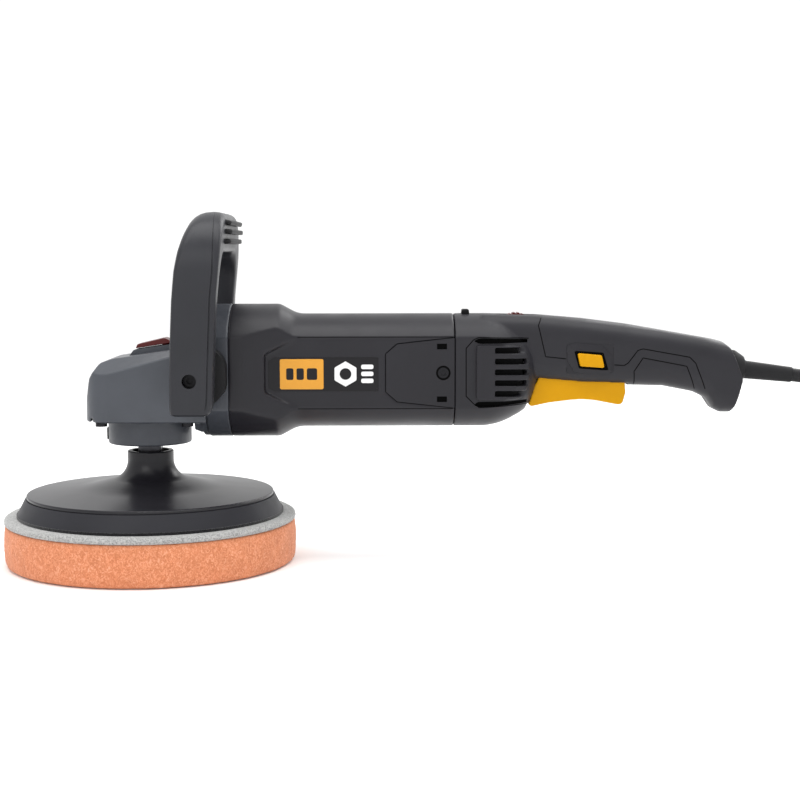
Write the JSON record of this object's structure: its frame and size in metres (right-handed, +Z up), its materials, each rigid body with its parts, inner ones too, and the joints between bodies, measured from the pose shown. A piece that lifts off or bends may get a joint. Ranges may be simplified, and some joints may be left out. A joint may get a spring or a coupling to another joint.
{
  "type": "rotary polisher",
  "caption": "Corded rotary polisher with a geared head, loop handle, motor barrel, trigger handle and round foam polishing pad.",
  "frame": {"origin": "centre of the polishing pad's lower face, on the spindle axis", "axes": "+X from the spindle to the rear handle along the tool, +Z up along the spindle, -Y the side with the lock-on button"},
  "size_m": [0.6547, 0.2202, 0.215],
  "materials": {
    "pad_foam": "matte",
    "felt": "matte",
    "hook": "matte",
    "backing_foam": "matte",
    "plate_plastic": "satin",
    "steel": "satin",
    "bearing_steel": "polished",
    "bronze": "satin",
    "rubber": "matte",
    "lamination": "matte",
    "copper": "satin",
    "fan_plastic": "satin",
    "gear_case_paint": "satin",
    "cast_aluminium": "satin",
    "housing_plastic": "satin",
    "overmould": "matte",
    "bail_plastic": "satin",
    "black_steel": "satin",
    "screw_steel": "satin",
    "lock_red": "gloss",
    "trigger_yellow": "gloss",
    "dial_red": "satin",
    "inner_plastic": "matte",
    "carbon": "matte",
    "brass": "satin",
    "cord_jacket": "matte",
    "plug_rubber": "matte",
    "pin_metal": "polished"
  },
  "bodies": {
    "housing": {"spindle_lower_bearing": "bearing_steel", "bronze_bushings": "bronze", "dust_seal": "rubber", "armature_front_bearing": "bearing_steel", "armature_rear_bearing": "bearing_steel", "layshaft_rear_bearing": "bearing_steel", "gear_housing": "gear_case_paint", "bearing_retainer": "cast_aluminium", "retainer_screws": "screw_steel", "mid_flange": "cast_aluminium", "flange_screws": "screw_steel", "spindle_lock_base": "gear_case_paint", "spindle_lock_spring": "steel", "bail_handle": "bail_plastic", "bail_bolts": "black_steel", "bail_isolators": "rubber", "motor_housing": "housing_plastic", "stator_core": "lamination", "field_windings": "copper", "air_baffle": "inner_plastic", "brush_holders": "brass", "carbon_brushes": "carbon", "brush_springs": "steel", "brush_covers": "housing_plastic", "rear_housing_left": "overmould", "rear_housing_right": "overmould", "case_screws": "screw_steel", "vent_grilles": "housing_plastic", "trigger_pin": "steel", "switch_module": "inner_plastic", "lock_on_bezel": "inner_plastic", "speed_control_module": "inner_plastic", "cable_boot": "rubber", "cord_clamp": "black_steel", "cord_coil": "cord_jacket", "power_cord": "cord_jacket", "plug_body": "plug_rubber", "plug_pins": "pin_metal"},
    "spindle_group": {"spindle": "steel", "crown_gear": "steel", "backing_plate": "plate_plastic", "threaded_insert": "steel", "backing_foam": "backing_foam", "hook_layer": "hook", "pad_felt_layer": "felt", "polishing_pad": "pad_foam"},
    "layshaft_group": {"layshaft": "steel", "reduction_gear": "steel", "bevel_pinion": "steel"},
    "armature_group": {"armature_shaft": "steel", "armature_core": "lamination", "armature_winding": "copper", "commutator": "copper", "motor_fan": "fan_plastic"},
    "lock_button_body": {"spindle_lock_button": "lock_red", "spindle_lock_pin": "steel"},
    "trigger_body": {"trigger": "trigger_yellow"},
    "plunger_body": {"switch_plunger": "inner_plastic"},
    "lock_on_body": {"lock_on_button": "trigger_yellow"},
    "speed_dial_body": {"speed_dial": "dial_red"}
  },
  "joints": [
    {"name": "spindle_spin", "type": "hinge", "parent": "housing", "child": "spindle_group", "pos_m": [0, 0, 0], "axis": [0, 0, 1], "continuous": true},
    {"name": "layshaft_spin", "type": "hinge", "parent": "housing", "child": "layshaft_group", "pos_m": [0, 0, 0.1006], "axis": [1, 0, 0], "continuous": true},
    {"name": "armature_spin", "type": "hinge", "parent": "housing", "child": "armature_group", "pos_m": [0, 0, 0.1186], "axis": [1, 0, 0], "continuous": true},
    {"name": "spindle_lock_press", "type": "slide", "parent": "housing", "child": "lock_button_body", "axis": [0, 0, -1], "range_m": [0, 0.0028], "stiffness_N_per_m": 1500, "springref_m": -0.003, "deforming": ["spindle_lock_spring"]},
    {"name": "trigger_pull", "type": "hinge", "parent": "housing", "child": "trigger_body", "pos_m": [0.243, 0, 0.1169], "axis": [0, -1, 0], "range_deg": [0, 5.5], "stiffness_Nm_per_rad": 4, "springref_deg": -3.44},
    {"name": "plunger_slide", "type": "slide", "parent": "housing", "child": "plunger_body", "axis": [0, 0, 1], "range_m": [0, 0.0042]},
    {"name": "lock_on_press", "type": "slide", "parent": "housing", "child": "lock_on_body", "axis": [0, 1, 0], "range_m": [0, 0.003], "stiffness_N_per_m": 800, "springref_m": -0.002},
    {"name": "dial_turn", "type": "hinge", "parent": "housing", "child": "speed_dial_body", "pos_m": [0.2262, 0, 0.1429], "axis": [0, 1, 0], "range_deg": [-135, 135]}
  ],
  "couplings": [
    {"joint": "layshaft_spin", "follows": "spindle_spin", "ratio": -2.1667},
    {"joint": "armature_spin", "follows": "spindle_spin", "ratio": 8.9762},
    {"joint": "plunger_slide", "follows": "trigger_pull", "m_per_rad": 0.041}
  ]
}
